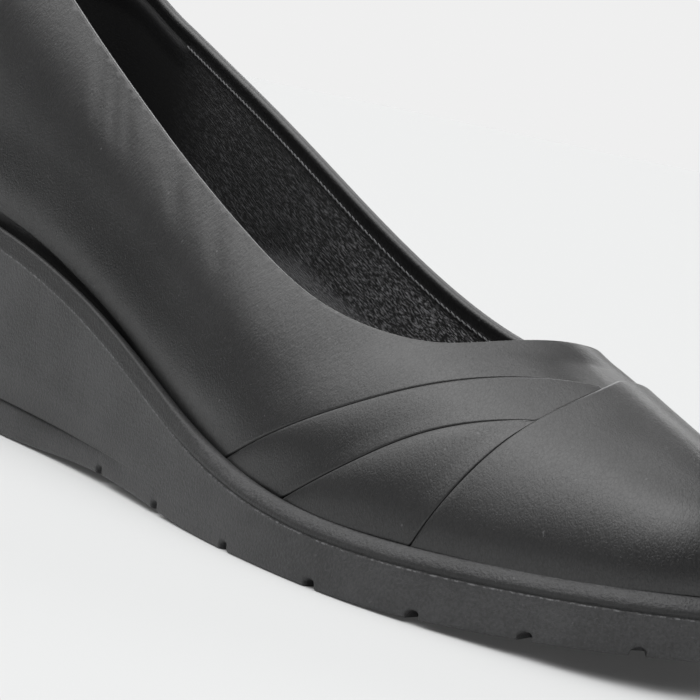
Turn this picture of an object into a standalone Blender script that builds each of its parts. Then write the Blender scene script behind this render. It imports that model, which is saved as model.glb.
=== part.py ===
"""Wedge slip-on shoe: wedge sole, insole, hollow upper, two pleats and a toe overlay."""
import math

import bmesh
import bpy
import numpy as np
from mathutils import Vector

# Sizes in millimetres: stations run from the heel's back to the toe at +X, lateral side at -Y, floor at zero.
MM = 0.001
HEEL_BACK = -14.0
TOE_TIP = 264.0
SOLE_LENGTH = TOE_TIP - HEEL_BACK
WALL = 1.8
FIT_GAP = 0.3

# Sole side
LIP_HEIGHT = 4.0
LIP_WIDTH = 2.0
SEAT_DEPTH = 3.0
EDGE_CHAMFER = 0.8
STEP_HEIGHT_HEEL = 8.0
STEP_HEIGHT_WAIST = 6.3
STEP_DEPTH = 0.8
STEP_END = 135.0
ARCH_START = 55.0
ARCH_END = 160.0
ARCH_LIFT = 1.85
SPRING_START = 198.0
TOE_SPRING = 7.4
NOTCH_HALF = 2.4
NOTCH_HEIGHT = 1.8
NOTCH_REACH = 7.0
NOTCH_STATIONS = (107.0, 135.5, 166.0, 194.0, 218.0, 239.0)

# Insole
INSOLE_THICKNESS = 3.0

# Overlays: thickness at the rear edge and at the front
REAR_PLEAT_EDGE = 1.2
FRONT_PLEAT_EDGE = 1.2
TOE_EDGE = 1.6
OVERLAY_FRONT = 0.6
OVERLAY_WELT = 0.9

# Where the upper leaves the sole, inside the lip and the overlays
FEATHER_INSET = LIP_WIDTH + FIT_GAP + OVERLAY_WELT + FIT_GAP + 0.2
SPINE_REAR = 26.8
HEEL_SEAM_LEVEL = 2.0
SIDES_APART = 32.0
SPINE_FRONT = 250.0

# One row per station of the sole's outline
OUTLINE_COLUMNS = ("station", "lateral", "medial")
OUTLINE = (
    (HEEL_BACK, 0.0, 0.0),
    (-10.0, 14.2, 14.2),
    (0.0, 23.8, 23.6),
    (14.0, 27.6, 27.0),
    (42.0, 28.8, 27.2),
    (75.0, 30.2, 26.0),
    (105.0, 32.6, 26.5),
    (135.0, 36.9, 31.0),
    (165.0, 40.7, 37.5),
    (186.0, 41.2, 40.5),
    (204.0, 39.2, 40.3),
    (222.0, 34.0, 36.0),
    (240.0, 26.6, 28.8),
    (254.0, 19.4, 21.0),
    (TOE_TIP, 0.0, 0.0),
)

# One row per station of the sole's top edge, with the centre line's swing to the medial side
RIM_COLUMNS = ("station", "rim", "centre")
RIM = (
    (HEEL_BACK, 52.0, 0.0),
    (17.0, 48.2, 0.0),
    (51.0, 43.6, 0.0),
    (85.0, 36.3, 0.0),
    (114.0, 27.9, 0.0),
    (138.0, 21.1, 0.1),
    (162.0, 16.1, 0.2),
    (192.0, 13.5, 0.5),
    (218.0, 14.1, 1.1),
    (240.0, 16.0, 1.8),
    (TOE_TIP, 19.0, 2.5),
)

# One row per station of the last's ridge
RIDGE_COLUMNS = ("station", "ridge")
RIDGE = (
    (26.0, 137.6),
    (85.0, 117.0),
    (118.0, 101.5),
    (152.0, 83.0),
    (181.0, 66.5),
    (206.0, 54.6),
    (230.0, 46.0),
    (251.0, 38.6),
)

# One row per station of the topline, the collar's edge on both sides
TOPLINE_COLUMNS = ("station", "lateral", "medial")
TOPLINE = (
    (HEEL_BACK, 113.5, 113.5),
    (18.0, 108.0, 104.7),
    (46.0, 95.1, 95.2),
    (75.0, 81.5, 85.1),
    (104.0, 69.3, 73.6),
    (133.0, 59.1, 60.5),
    (162.0, 51.6, 50.4),
    (186.0, 47.9, 49.2),
    (206.0, 54.6, 54.6),
)

# One row per section of the last: fullness of its side and top, and how far the side swells out
SECTION_COLUMNS = ("station", "side", "top", "swell")
SECTION = (
    (HEEL_BACK, 0.46, 0.72, 0.06),
    (60.0, 0.45, 0.53, 0.01),
    (130.0, 0.44, 0.55, 0.0),
    (180.0, 0.45, 0.54, 0.015),
    (222.0, 0.50, 0.54, 0.045),
    (TOE_TIP, 0.55, 0.55, 0.06),
)

# Rear edges of the overlays: across is -1 at the lateral welt, 0 on the ridge and 1 at the medial welt
PLEAT_COLUMNS = ("across", "station")
REAR_LINE = (
    (-1.00, 153.0),
    (-0.85, 168.5),
    (-0.67, 187.0),
    (-0.53, 199.0),
    (-0.35, 212.5),
    (-0.11, 228.7),
)
FRONT_LINE = (
    (-1.00, 175.5),
    (-0.80, 194.0),
    (-0.61, 209.0),
    (-0.43, 225.6),
)
TOE_LINE = (
    (-1.00, 212.5),
    (-0.76, 218.4),
    (-0.53, 223.3),
    (-0.33, 227.2),
    (-0.16, 228.7),
    (0.00, 227.2),
    (0.13, 223.6),
    (0.35, 214.5),
    (0.65, 204.0),
    (1.00, 197.0),
)
REAR_PLEAT_TIP = -0.17
FRONT_PLEAT_TIP = -0.50

# Counts along and across
STATIONS = 36
WALL_ROWS = 9


def spline(rows, columns, wanted, warp=None):
    """Smooth curve through one named column of a table."""
    place = columns.index(wanted)
    xs = [warp(row[0]) if warp else row[0] for row in rows]
    ys = [row[place] for row in rows]
    count = len(xs)
    span = [xs[i + 1] - xs[i] for i in range(count - 1)]
    matrix = np.eye(count)
    right = np.zeros(count)
    for i in range(1, count - 1):
        matrix[i, i - 1] = span[i - 1]
        matrix[i, i] = 2.0 * (span[i - 1] + span[i])
        matrix[i, i + 1] = span[i]
        right[i] = 6.0 * ((ys[i + 1] - ys[i]) / span[i] - (ys[i] - ys[i - 1]) / span[i - 1])
    bend = [float(b) for b in np.linalg.solve(matrix, right)]

    def value(x):
        x = min(max(x, xs[0]), xs[-1])
        i = 0
        while i < count - 2 and x > xs[i + 1]:
            i += 1
        left = xs[i + 1] - x
        gone = x - xs[i]
        step = span[i]
        curved = (bend[i] * left ** 3 + bend[i + 1] * gone ** 3) / (6.0 * step)
        return curved + (ys[i] / step - bend[i] * step / 6.0) * left + (ys[i + 1] / step - bend[i + 1] * step / 6.0) * gone

    return value


def run_of(station):
    """Share of the way from heel to toe, finer at both round ends."""
    return math.acos(1.0 - 2.0 * min(max((station - HEEL_BACK) / SOLE_LENGTH, 0.0), 1.0)) / math.pi


def station_of(run):
    return HEEL_BACK + SOLE_LENGTH * (1.0 - math.cos(math.pi * run)) / 2.0


half_lateral = spline(OUTLINE, OUTLINE_COLUMNS, "lateral", run_of)
half_medial = spline(OUTLINE, OUTLINE_COLUMNS, "medial", run_of)
rim_height = spline(RIM, RIM_COLUMNS, "rim")
centre_line = spline(RIM, RIM_COLUMNS, "centre")
ridge_height = spline(RIDGE, RIDGE_COLUMNS, "ridge")
topline_lateral = spline(TOPLINE, TOPLINE_COLUMNS, "lateral")
topline_medial = spline(TOPLINE, TOPLINE_COLUMNS, "medial")
side_fullness = spline(SECTION, SECTION_COLUMNS, "side")
top_fullness = spline(SECTION, SECTION_COLUMNS, "top")
side_swell = spline(SECTION, SECTION_COLUMNS, "swell")
rear_line = spline(REAR_LINE, PLEAT_COLUMNS, "station")
front_line = spline(FRONT_LINE, PLEAT_COLUMNS, "station")
toe_line = spline(TOE_LINE, PLEAT_COLUMNS, "station")


def smooth_step(value, start, end):
    share = min(max((value - start) / (end - start), 0.0), 1.0)
    return share * share * (3.0 - 2.0 * share)


def outline_raw(run, side):
    station = station_of(run)
    half = half_lateral(run) if side < 0 else half_medial(run)
    return station, centre_line(station) + side * half


def inward(run, side):
    """Level direction from the sole's edge toward its middle."""
    if run < 0.001:
        return 1.0, 0.0
    if run > 0.999:
        return -1.0, 0.0
    x0, y0 = outline_raw(run - 0.0005, side)
    x1, y1 = outline_raw(run + 0.0005, side)
    dx = x1 - x0
    dy = y1 - y0
    size = math.hypot(dx, dy)
    return side * dy / size, -side * dx / size


def outline(run, side, inset=0.0):
    x, y = outline_raw(run, side)
    nx, ny = inward(run, side)
    return x + nx * inset, y + ny * inset


def bottom_lift(station):
    """Height of the tread over the floor: arch at the waist, spring at the toe."""
    lift = 0.0
    if ARCH_START < station < ARCH_END:
        lift = ARCH_LIFT * math.sin(math.pi * (station - ARCH_START) / (ARCH_END - ARCH_START)) ** 2
    if station > SPRING_START:
        lift = TOE_SPRING * ((station - SPRING_START) / (TOE_TIP - SPRING_START)) ** 1.7
    return lift


def wall_point(run, rise, side):
    """Outer face of the upper: rise is 0 at the feather edge and 1 on the ridge."""
    fx, fy = outline(run, side, FEATHER_INSET)
    fz = rim_height(station_of(run)) - SEAT_DEPTH + FIT_GAP
    rx = SPINE_REAR + (SPINE_FRONT - SPINE_REAR) * (1.0 - math.cos(math.pi * run)) / 2.0
    ry = centre_line(rx)
    rz = ridge_height(rx)
    slope = ridge_height(rx + 0.5) - ridge_height(rx - 0.5)
    dx = fx - rx
    dy = fy - ry
    width = math.hypot(dx, dy)
    height = rz - fz
    swell = side_swell(fx) * height / width
    feather = Vector((fx, fy, fz))
    ridge = Vector((rx, ry, rz))
    low = feather + Vector((dx * swell, dy * swell, side_fullness(fx) * height))
    full = top_fullness(fx)
    high = ridge + Vector((dx * full, dy * full, slope * dx * full))
    down = 1.0 - rise
    return feather * down ** 3 + low * (3 * down * down * rise) + high * (3 * down * rise * rise) + ridge * rise ** 3


def skin_point(run, across, lift=0.0):
    """Point lifted off the upper's outer face; across is -1 lateral welt, 0 ridge, 1 medial welt."""
    side = -1.0 if across < 0.0 else 1.0
    rise = 1.0 - abs(across)
    point = wall_point(run, rise, side)
    if lift == 0.0:
        return point
    run_a = min(max(run, 0.004), 0.996)
    rise_a = min(max(rise, 0.004), 0.985)
    along = wall_point(run_a + 0.002, rise_a, side) - wall_point(run_a - 0.002, rise_a, side)
    up = wall_point(run_a, rise_a + 0.002, side) - wall_point(run_a, rise_a - 0.002, side)
    normal = along.cross(up).normalized() * -side
    if rise > 0.985:
        slope = ridge_height(point.x + 0.5) - ridge_height(point.x - 0.5)
        crown = Vector((-slope, 0.0, 1.0)).normalized()
        normal = normal.lerp(crown, (rise - 0.985) / 0.015).normalized()
    return point + normal * lift


def topline_height(station, side):
    """Collar height; both sides are level at the heel seam."""
    height = topline_lateral(station)
    if side > 0:
        height += (topline_medial(station) - height) * smooth_step(station, HEEL_SEAM_LEVEL, SIDES_APART)
    return height


def topline_rise(run, side):
    """Where the collar cuts the wall; 1 in front of the throat, where both walls meet on the ridge."""
    crown = wall_point(run, 1.0, side)
    if crown.x >= TOPLINE[-1][0] - 0.001:
        return 1.0
    low = 0.0
    high = 1.0
    for turn in range(40):
        middle = (low + high) / 2.0
        point = wall_point(run, middle, side)
        if point.z < topline_height(point.x, side):
            low = middle
        else:
            high = middle
    return (low + high) / 2.0


def throat_run():
    """Run whose ridge point is the throat."""
    share = (TOPLINE[-1][0] - SPINE_REAR) / (SPINE_FRONT - SPINE_REAR)
    return math.acos(1.0 - 2.0 * share) / math.pi


def notch_half(station):
    """Half the width of a tread notch, narrower round the toe."""
    return NOTCH_HALF * (1.0 - 0.4 * smooth_step(station, 190.0, 240.0))


def notch_lift(station):
    """How far the tread's edge is cut up into a round-topped notch."""
    for middle in NOTCH_STATIONS:
        share = abs(station - middle) / notch_half(middle)
        if share < 0.999:
            return NOTCH_HEIGHT * math.sqrt(1.0 - share * share)
    return 0.0


# Columns of the sole: even ones, and five at each notch
edge_runs = []
for i in range(STATIONS + 1):
    station = station_of(i / STATIONS)
    if min(abs(station - middle) for middle in NOTCH_STATIONS) > 1.5 * NOTCH_HALF:
        edge_runs.append(i / STATIONS)
for middle in NOTCH_STATIONS:
    for share in (-1.0, -0.7, 0.0, 0.7, 1.0):
        edge_runs.append(run_of(middle + share * notch_half(middle)))
edge_runs.sort()

# Frame: origin under the middle of the sole's box
edge_ys = [outline_raw(run, side)[1] for run in edge_runs for side in (-1.0, 1.0)]
MIDDLE = Vector(((HEEL_BACK + TOE_TIP) / 2.0, (min(edge_ys) + max(edge_ys)) / 2.0, 0.0))


def metres(point):
    return (Vector(point) - MIDDLE) * MM


# Scene
for old in list(bpy.data.objects):
    bpy.data.objects.remove(old, do_unlink=True)

shoe = bpy.data.collections.new("wedge_slip_on_shoe")
bpy.context.scene.collection.children.link(shoe)


def material(name, colour, roughness):
    made = bpy.data.materials.new(name)
    made.use_nodes = True
    shader = made.node_tree.nodes["Principled BSDF"]
    shader.inputs["Base Color"].default_value = (*colour, 1.0)
    shader.inputs["Roughness"].default_value = roughness
    return made


leather = material("black_leather", (0.020, 0.020, 0.022), 0.42)
overlay_leather = material("overlay_leather", (0.024, 0.024, 0.026), 0.40)
sole_rubber = material("sole_rubber", (0.030, 0.030, 0.032), 0.60)
footbed = material("footbed", (0.018, 0.018, 0.018), 0.80)


def sheet(name, columns, rows, place, surface, face_up=False):
    """Grid whose points are set by a function of column and row; ends that meet are welded."""
    form = bmesh.new()
    bmesh.ops.create_grid(form, x_segments=columns, y_segments=rows, size=1.0)
    for vert in form.verts:
        column = round((vert.co.x + 1.0) / 2.0 * columns)
        row = round((vert.co.y + 1.0) / 2.0 * rows)
        vert.co = metres(place(column, row))
    bmesh.ops.remove_doubles(form, verts=form.verts[:], dist=0.00005)
    bmesh.ops.recalc_face_normals(form, faces=form.faces[:])
    form.normal_update()
    facing = 0.0
    for face in form.faces:
        middle = face.calc_center_median()
        away = Vector((0.0, 0.0, 1.0)) if face_up else middle - Vector((middle.x * 0.8, 0.0, 0.03))
        facing += face.normal.dot(away) * face.calc_area()
    if facing < 0.0:
        bmesh.ops.reverse_faces(form, faces=form.faces[:])
    mesh = bpy.data.meshes.new(name)
    form.to_mesh(mesh)
    form.free()
    for face in mesh.polygons:
        face.use_smooth = True
    mesh.materials.append(surface)
    made = bpy.data.objects.new(name, mesh)
    shoe.objects.link(made)
    return made


# Wedge sole: one profile round each section, from the tread up to the lip and across the seat
def side_profile(run, side):
    """Points of one side from the tread's edge up to the seat inside the lip."""
    station = station_of(run)
    low = bottom_lift(station)
    rim = rim_height(station)
    fade = 1.0 - smooth_step(station, STEP_END - 60.0, STEP_END)
    recess = STEP_DEPTH * fade
    step = STEP_HEIGHT_HEEL + (STEP_HEIGHT_WAIST - STEP_HEIGHT_HEEL) * smooth_step(station, 40.0, STEP_END)
    under = rim - LIP_HEIGHT
    notch = notch_lift(station)
    step = max(step, low + EDGE_CHAMFER + NOTCH_HEIGHT + 0.8)
    rows = (
        (NOTCH_REACH, low),
        (EDGE_CHAMFER + recess, low + notch),
        (recess, low + EDGE_CHAMFER + notch),
        (recess, step),
        (0.0, step + 0.5),
        (0.25, (step + under) / 2.0 + 0.2),
        (0.5, under),
        (0.1, under + 0.6),
        (0.0, rim - LIP_HEIGHT / 2.0),
        (0.5, rim - 0.4),
        (LIP_WIDTH * 0.6, rim),
        (LIP_WIDTH, rim - 0.5),
        (LIP_WIDTH, rim - SEAT_DEPTH),
    )
    return [(*outline(run, side, inset), z) for inset, z in rows]


profiles = []
for run in edge_runs:
    lateral = side_profile(run, -1.0)
    medial = side_profile(run, 1.0)
    profiles.append(lateral + medial[::-1])
ring = len(profiles[0])
sole = sheet("wedge_sole", len(edge_runs) - 1, ring, lambda c, r: profiles[c][r % ring], sole_rubber)
sole.data.set_sharp_from_angle(angle=math.radians(40.0))

# Insole: lies in the sole's seat, clear of the upper's inner face
def insole_point(column, row):
    run = column / STATIONS
    inset = FEATHER_INSET + WALL + 3.0 * FIT_GAP
    x0, y0 = outline(run, -1.0, inset)
    x1, y1 = outline(run, 1.0, inset)
    share = row / 4.0
    x = x0 + (x1 - x0) * share
    return x, y0 + (y1 - y0) * share, rim_height(station_of(run)) - SEAT_DEPTH + FIT_GAP + INSOLE_THICKNESS


insole = sheet("insole", STATIONS, 4, insole_point, footbed, face_up=True)
solid = insole.modifiers.new("thickness", "SOLIDIFY")
solid.thickness = INSOLE_THICKNESS * MM
solid.offset = -1.0

# Upper: columns run once round the shoe, closing on the heel seam; rows climb from feather to topline or ridge
throat = throat_run()
rear_count = 16
collar_count = 9
front_count = 13
shoulder = 0.86 * throat
upper_runs = [shoulder * i / rear_count for i in range(rear_count)]
for i in range(collar_count):
    upper_runs.append(throat - (throat - shoulder) * (1.0 - i / collar_count) ** 2)
for i in range(front_count + 1):
    upper_runs.append(throat + (1.0 - throat) * i / front_count)
loop = [(run, -1.0) for run in upper_runs] + [(run, 1.0) for run in upper_runs[-2::-1]]
tops = [topline_rise(run, side) for run, side in loop]


def upper_point(column, row):
    run, side = loop[column]
    return wall_point(run, tops[column] * row / WALL_ROWS, side)


upper = sheet("upper", len(loop) - 1, WALL_ROWS, upper_point, leather)
solid = upper.modifiers.new("thickness", "SOLIDIFY")
solid.thickness = WALL * MM
solid.offset = -1.0
solid.use_even_offset = True


def thicken(overlay, edge, front, shares):
    """Solid overlay: thick along its rear edge, thinner in front."""
    group = overlay.vertex_groups.new(name="thickness")
    for vert in overlay.data.vertices:
        group.add([vert.index], shares(vert.co), "REPLACE")
    solid = overlay.modifiers.new("thickness", "SOLIDIFY")
    solid.thickness = edge * MM
    solid.offset = 1.0
    solid.vertex_group = "thickness"
    solid.thickness_vertex_group = front / edge


def clear_of_lip(spot):
    """Overlays thin out where they go down inside the lip."""
    return smooth_step(spot.z / MM - rim_height(spot.x / MM + MIDDLE.x), -1.0, 12.0)


def rear_limit(across):
    """Station where the pleats end: the edge of the piece that laps over them."""
    return min(front_line(across) if across < FRONT_LINE[-1][0] else 1000.0, toe_line(across))


def pleat(name, line, limit, tip, edge):
    """Fold between its own rear line and the piece in front, narrowing to a tip."""
    rows = 16
    columns = 4

    def place(column, row):
        across = -1.0 + (tip + 1.0) * row / rows
        start = line(across) + FIT_GAP
        end = max(limit(across) - FIT_GAP, start + 0.8)
        return skin_point(run_of(start + (end - start) * column / columns), across, FIT_GAP)

    made = sheet(name, columns, rows, place, overlay_leather)
    rears = [metres(skin_point(run_of(line(-1.0 + (tip + 1.0) * i / 40)), -1.0 + (tip + 1.0) * i / 40)) for i in range(41)]

    def share(spot):
        away = min((spot - rear).length for rear in rears)
        return (1.0 - smooth_step(away, 0.001, 0.014)) * clear_of_lip(spot)

    thicken(made, edge, OVERLAY_FRONT, share)
    return made


rear_pleat = pleat("rear_pleat", rear_line, rear_limit, REAR_PLEAT_TIP, REAR_PLEAT_EDGE)
front_pleat = pleat("front_pleat", front_line, toe_line, FRONT_PLEAT_TIP, FRONT_PLEAT_EDGE)


# Toe overlay: covers the toe from its line forward; both sides meet at the toe tip
def toe_point(column, row):
    across = -1.0 + 2.0 * row / 20.0
    start = run_of(toe_line(across) + FIT_GAP)
    return skin_point(start + (1.0 - start) * column / 10.0, across, FIT_GAP)


toe_overlay = sheet("toe_overlay", 10, 20, toe_point, overlay_leather)
toe_rears = [metres(skin_point(run_of(toe_line(-1.0 + i / 40.0)), -1.0 + i / 40.0)) for i in range(81)]


def toe_share(spot):
    away = min((spot - rear).length for rear in toe_rears)
    return (1.0 - smooth_step(away, 0.001, 0.018)) * clear_of_lip(spot)


thicken(toe_overlay, TOE_EDGE, OVERLAY_FRONT, toe_share)
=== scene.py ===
"""Wedge slip-on shoe, dressed: upper with rolled collar, pleats and toe overlay, lining, moulded sole."""
import math

import bmesh
import bpy
import numpy as np
from mathutils import Matrix, Vector


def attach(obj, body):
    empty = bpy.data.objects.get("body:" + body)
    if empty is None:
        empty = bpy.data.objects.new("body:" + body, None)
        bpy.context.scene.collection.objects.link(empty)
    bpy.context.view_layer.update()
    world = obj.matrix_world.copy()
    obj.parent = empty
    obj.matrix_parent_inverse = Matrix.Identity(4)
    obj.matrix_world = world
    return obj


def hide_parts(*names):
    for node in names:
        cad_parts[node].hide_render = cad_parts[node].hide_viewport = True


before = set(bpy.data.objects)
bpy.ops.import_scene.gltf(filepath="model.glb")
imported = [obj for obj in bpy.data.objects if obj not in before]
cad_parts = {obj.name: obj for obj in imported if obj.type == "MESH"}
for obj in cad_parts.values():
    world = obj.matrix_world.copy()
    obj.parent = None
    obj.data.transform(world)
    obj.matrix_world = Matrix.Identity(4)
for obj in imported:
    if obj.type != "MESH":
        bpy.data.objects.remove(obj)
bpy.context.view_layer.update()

# Sizes in millimetres: stations run from the heel's back to the toe at +X, lateral side at -Y, floor at zero
MM = 0.001
HEEL_BACK = -14.0
TOE_TIP = 264.0
LENGTH = TOE_TIP - HEEL_BACK
MIDDLE = np.array(((HEEL_BACK + TOE_TIP) / 2.0, 0.2, 0.0))
LIP = 4.0
LIP_WIDTH = 2.0
SEAT_DEPTH = 3.0
FEATHER_INSET = 3.7
FEATHER_RAISE = 0.3
SPINE_REAR = 26.8
SPINE_FRONT = 250.0
THROAT = 206.0
THROAT_SLOPE = 0.45
LINING_TOP = 3.0
LATERAL = -1.0
MEDIAL = 1.0
SIDES = (LATERAL, MEDIAL)

OUTLINE = {
    "station": (HEEL_BACK, -10, 0, 14, 42, 75, 105, 135, 165, 186, 204, 222, 240, 254, TOE_TIP),
    "lateral": (0, 14.2, 23.8, 27.6, 28.8, 30.2, 32.6, 36.9, 40.7, 41.2, 39.2, 34, 26.6, 19.4, 0),
    "medial": (0, 14.2, 23.6, 27, 27.2, 26, 26.5, 31, 37.5, 40.5, 40.3, 36, 28.8, 21, 0),
}
RIM = {
    "station": (HEEL_BACK, 17, 51, 85, 114, 138, 162, 192, 218, 240, TOE_TIP),
    "rim": (52, 48.2, 43.6, 36.3, 27.9, 21.1, 16.1, 13.5, 14.1, 16, 19),
    "centre": (0, 0, 0, 0, 0, 0.1, 0.2, 0.5, 1.1, 1.8, 2.5),
}
RIDGE = {
    "station": (26, 85, 118, 152, 181, 206, 230, 251),
    "ridge": (137.6, 117, 101.5, 83, 66.5, 54.6, 46, 38.6),
}
TOPLINE = {
    "station": (HEEL_BACK, 18, 46, 75, 104, 133, 162, 186, 197, THROAT),
    "lateral": (113.5, 108, 95.1, 81.5, 69.3, 59.2, 51.2, 48.9, 50.4, 54.6),
    "medial": (113.5, 104.7, 95.2, 85.1, 73.6, 60.5, 50.4, 49.2, 51.7, 54.6),
}
SECTION = {
    "station": (HEEL_BACK, 60, 130, 180, 222, TOE_TIP),
    "side": (0.46, 0.45, 0.44, 0.45, 0.50, 0.55),
    "top": (0.72, 0.53, 0.55, 0.54, 0.54, 0.55),
    "swell": (0.06, 0.01, 0, 0.015, 0.045, 0.06),
}
REAR_LINE = {
    "across": (-1, -0.85, -0.67, -0.53, -0.35, -0.11),
    "station": (153, 168.5, 187, 199, 212.5, 228.7),
}
FRONT_LINE = {
    "across": (-1, -0.80, -0.61, -0.43),
    "station": (175.5, 194, 209, 225.6),
}
TOE_LINE = {
    "across": (-1, -0.76, -0.53, -0.33, -0.16, 0, 0.13, 0.35, 0.65, 1),
    "station": (212.5, 218.4, 223.3, 227.2, 228.7, 227.2, 223.6, 214.5, 204, 197),
}
NOTCHES = (107.0, 135.5, 166.0, 194.0, 218.0, 239.0, 257.0)


class Curve:
    """Smooth curve through one column of a table."""

    def __init__(self, table, column, over="station", warp=None):
        xs = np.array(table[over], float)
        self.x = warp(xs) if warp else xs
        self.y = np.array(table[column], float)
        count = len(xs)
        span = np.diff(self.x)
        matrix = np.eye(count)
        right = np.zeros(count)
        for i in range(1, count - 1):
            matrix[i, i - 1] = span[i - 1]
            matrix[i, i] = 2.0 * (span[i - 1] + span[i])
            matrix[i, i + 1] = span[i]
            rise = np.diff(self.y)[i - 1:i + 1] / span[i - 1:i + 1]
            right[i] = 6.0 * (rise[1] - rise[0])
        self.bend = np.linalg.solve(matrix, right)

    def __call__(self, x):
        x = np.clip(x, self.x[0], self.x[-1])
        i = np.clip(np.searchsorted(self.x, x) - 1, 0, len(self.x) - 2)
        step = self.x[i + 1] - self.x[i]
        left = self.x[i + 1] - x
        gone = x - self.x[i]
        curved = (self.bend[i] * left ** 3 + self.bend[i + 1] * gone ** 3) / (6.0 * step)
        near = (self.y[i] / step - self.bend[i] * step / 6.0) * left
        return curved + near + (self.y[i + 1] / step - self.bend[i + 1] * step / 6.0) * gone


def run_of(station):
    """Share of the way from heel to toe, finer at both round ends."""
    share = np.clip((np.asarray(station, float) - HEEL_BACK) / LENGTH, 0.0, 1.0)
    return np.arccos(1.0 - 2.0 * share) / math.pi


def station_of(run):
    return HEEL_BACK + LENGTH * (1.0 - np.cos(math.pi * np.asarray(run, float))) / 2.0


half_lateral = Curve(OUTLINE, "lateral", warp=run_of)
half_medial = Curve(OUTLINE, "medial", warp=run_of)
rim_height = Curve(RIM, "rim")
centre_line = Curve(RIM, "centre")
ridge_height = Curve(RIDGE, "ridge")
topline_lateral = Curve(TOPLINE, "lateral")
topline_medial = Curve(TOPLINE, "medial")
side_fullness = Curve(SECTION, "side")
top_fullness = Curve(SECTION, "top")
side_swell = Curve(SECTION, "swell")
rear_line = Curve(REAR_LINE, "station", "across")
front_line = Curve(FRONT_LINE, "station", "across")
toe_line = Curve(TOE_LINE, "station", "across")


def ease(value, start, end):
    share = np.clip((np.asarray(value, float) - start) / (end - start), 0.0, 1.0)
    return share * share * (3.0 - 2.0 * share)


def unit(way):
    return way / np.linalg.norm(way, axis=-1, keepdims=True)


def edge(run, side):
    station = station_of(run)
    return station, centre_line(station) + side * np.where(side < 0, half_lateral(run), half_medial(run))


def outline(run, side, inset):
    """Sole's outline from above, moved in toward its middle."""
    near = np.clip(run, 0.001, 0.999)
    x0, y0 = edge(near - 0.0005, side)
    x1, y1 = edge(near + 0.0005, side)
    size = np.hypot(x1 - x0, y1 - y0)
    nx = np.where(run < 0.001, 1.0, np.where(run > 0.999, -1.0, side * (y1 - y0) / size))
    ny = np.where((run < 0.001) | (run > 0.999), 0.0, -side * (x1 - x0) / size)
    x, y = edge(run, side)
    return x + nx * inset, y + ny * inset


def wall(run, rise, side):
    """Outer face of the upper: rise is 0 at the feather edge and 1 on the ridge."""
    run, rise, side = np.broadcast_arrays(np.asarray(run, float), rise, side)
    fx, fy = outline(run, side, FEATHER_INSET)
    fz = rim_height(station_of(run)) - SEAT_DEPTH + FEATHER_RAISE
    rx = SPINE_REAR + (SPINE_FRONT - SPINE_REAR) * (1.0 - np.cos(math.pi * run)) / 2.0
    ry = centre_line(rx)
    rz = ridge_height(rx)
    slope = ridge_height(rx + 0.5) - ridge_height(rx - 0.5)
    dx = fx - rx
    dy = fy - ry
    height = rz - fz
    swell = side_swell(fx) * height / np.hypot(dx, dy)
    full = top_fullness(fx)
    feather = np.stack((fx, fy, fz), -1)
    ridge = np.stack((rx, ry, rz), -1)
    low = feather + np.stack((dx * swell, dy * swell, side_fullness(fx) * height), -1)
    high = ridge + np.stack((dx * full, dy * full, slope * dx * full), -1)
    up = rise[..., None]
    down = 1.0 - up
    return feather * down ** 3 + low * (3 * down * down * up) + high * (3 * down * up * up) + ridge * up ** 3


def wall_normal(run, rise, side):
    """Outward direction of the upper's outer face."""
    run, rise, side = np.broadcast_arrays(np.asarray(run, float), rise, side)
    run_a = np.clip(run, 0.004, 0.996)
    rise_a = np.clip(rise, 0.004, 0.985)
    along = wall(run_a + 0.002, rise_a, side) - wall(run_a - 0.002, rise_a, side)
    up = wall(run_a, rise_a + 0.002, side) - wall(run_a, rise_a - 0.002, side)
    normal = unit(np.cross(along, up)) * -side[..., None]
    spot = wall(run, rise, side)[..., 0]
    slope = ridge_height(spot + 0.5) - ridge_height(spot - 0.5)
    crown = unit(np.stack((-slope, np.zeros_like(slope), np.ones_like(slope)), -1))
    share = np.clip((rise - 0.985) / 0.015, 0.0, 1.0)[..., None]
    normal = normal * (1.0 - share) + crown * share
    ends = (run < 1e-6) | (run > 1.0 - 1e-6)
    normal[..., 1] = np.where(ends, 0.0, normal[..., 1])
    return unit(normal)


def skin(run, across, lift):
    """Point lifted off the upper: across is -1 at the lateral welt, 0 on the ridge, 1 at the medial welt."""
    run, across, lift = np.broadcast_arrays(np.asarray(run, float), across, lift)
    side = np.where(across < 0.0, -1.0, 1.0)
    rise = 1.0 - np.abs(across)
    return wall(run, rise, side) + wall_normal(run, rise, side) * lift[..., None]


def topline(station, side):
    """Collar height; both sides are level at the heel seam, and the line runs on past the throat."""
    height = topline_lateral(station)
    other = (topline_medial(station) - height) * ease(station, 2.0, 32.0)
    return height + np.where(side > 0, other, 0.0) + THROAT_SLOPE * np.maximum(station - THROAT, 0.0)


def cut_run(drop):
    """Run whose ridge point lies on the topline lowered by drop."""
    runs = np.linspace(0.6, 0.95, 700)
    crown = wall(runs, 1.0, 1.0)
    over = crown[:, 2] - topline(crown[:, 0], 1.0) + drop
    return float(np.interp(0.0, -over, runs))


def cut_rise(run, side, drop):
    """Where the lowered topline cuts the wall."""
    run = np.asarray(run, float)
    low = np.zeros_like(run)
    high = np.ones_like(run)
    for turn in range(40):
        middle = (low + high) / 2.0
        point = wall(run, middle, side)
        under = point[..., 2] < topline(point[..., 0], side) - drop
        low = np.where(under, middle, low)
        high = np.where(under, high, middle)
    return np.where(run >= cut_run(drop) - 1e-9, 1.0, (low + high) / 2.0)


def cut_runs(side, drop, count):
    """Runs at even steps along the lowered topline, heel to throat."""
    runs = np.linspace(0.0, 1.0, 1500) ** 0.8 * cut_run(drop)
    points = wall(runs, cut_rise(runs, side, drop), side)
    gone = np.concatenate(([0.0], np.cumsum(np.linalg.norm(np.diff(points, axis=0), axis=1))))
    return np.interp(np.linspace(0.0, gone[-1], count + 1), gone, runs)


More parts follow.
